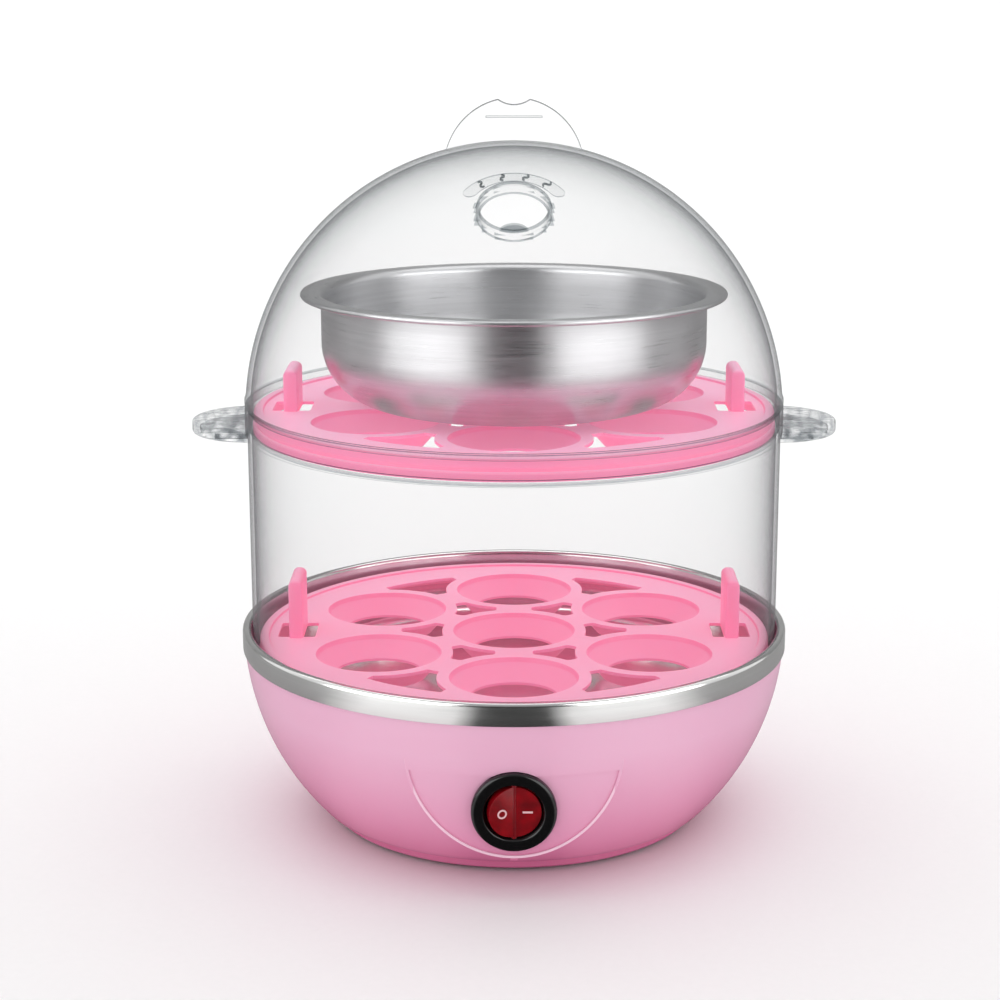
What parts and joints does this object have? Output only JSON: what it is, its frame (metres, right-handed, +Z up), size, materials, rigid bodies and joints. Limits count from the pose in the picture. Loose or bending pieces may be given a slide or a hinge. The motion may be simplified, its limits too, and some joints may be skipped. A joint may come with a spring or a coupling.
{
  "type": "egg cooker",
  "caption": "Electric egg cooker and steamer: pink heated base with steel rim and rocker switch, clear ring, pink egg trays, steel bowl, clear domed lid.",
  "frame": {"origin": "centre of the footprint at table height, under the feet", "axes": "+Z up along the centre line, -Y towards the front with the rocker switch, +X to the viewer's right"},
  "size_m": [0.21, 0.18, 0.2355],
  "materials": {
    "pink_shell": "glossy moulded, light pink",
    "pink_tray": "satin moulded, slightly translucent pink",
    "clear_plastic": "clear polished moulding",
    "brushed_steel": "spun and brushed stainless sheet",
    "zinc_steel": "zinc plated",
    "cast_aluminium": "as cast",
    "brass": "bare stamped brass",
    "grey_rubber": "soft matt",
    "white_silicone": "soft matt",
    "black_plastic": "glossy moulded",
    "red_rocker": "glossy, lamp shows through",
    "lamp_glass": "clear bulb",
    "thermostat_body": "phenolic moulding with aluminium cap",
    "fuse_sleeve": "glass-fibre sleeve",
    "cap_nylon": "natural nylon",
    "wire_brown": "silicone insulation",
    "wire_black": "silicone insulation",
    "wire_blue": "silicone insulation",
    "wire_green": "silicone insulation"
  },
  "bodies": {
    "base": {"base_shell": "pink_shell", "bottom_cover": "pink_shell", "rubber_feet": "grey_rubber", "cover_screws": "zinc_steel", "water_pan": "brushed_steel", "pan_gasket": "white_silicone", "heater_plate": "cast_aluminium", "heater_element": "cast_aluminium", "pan_bracket": "zinc_steel", "bracket_screws": "zinc_steel", "stud_nuts": "zinc_steel", "strap_washer": "zinc_steel", "earth_tag": "brass", "thermostat": "thermostat_body", "thermal_fuse": "fuse_sleeve", "fuse_clip": "zinc_steel", "plate_screws": "zinc_steel", "switch_body": "black_plastic", "switch_terminals": "brass", "neon_lamp": "lamp_glass", "cord_gland": "black_plastic", "crimp_caps": "cap_nylon", "wire_live": "wire_brown", "wire_switched": "wire_black", "wire_fuse": "wire_black", "wire_heater": "wire_black", "wire_neutral": "wire_blue", "wire_earth": "wire_green"},
    "rocker": {"switch_rocker": "red_rocker"},
    "lower_tray": {"lower_tray": "pink_tray"},
    "middle_ring": {"middle_ring": "clear_plastic"},
    "upper_tray": {"upper_tray": "pink_tray"},
    "bowl": {"steam_bowl": "brushed_steel"},
    "lid": {"dome_lid": "clear_plastic"}
  },
  "joints": [
    {"name": "switch_rocker", "type": "hinge", "parent": "base", "child": "rocker", "pos_m": [0, -0.08518, 0.02955], "axis": [0, 0.1011, -0.9949], "range_deg": [0, 20]},
    {"name": "lower_tray_lift", "type": "slide", "parent": "base", "child": "lower_tray", "axis": [0, 0, 1], "range_m": [0, 0.06]},
    {"name": "ring_lift", "type": "slide", "parent": "lower_tray", "child": "middle_ring", "axis": [0, 0, 1], "range_m": [0, 0.08]},
    {"name": "upper_tray_lift", "type": "slide", "parent": "middle_ring", "child": "upper_tray", "axis": [0, 0, 1], "range_m": [0, 0.06]},
    {"name": "bowl_lift", "type": "slide", "parent": "upper_tray", "child": "bowl", "axis": [0, 0, 1], "range_m": [0, 0.06]},
    {"name": "lid_lift", "type": "slide", "parent": "bowl", "child": "lid", "axis": [0, 0, 1], "range_m": [0, 0.1]}
  ]
}
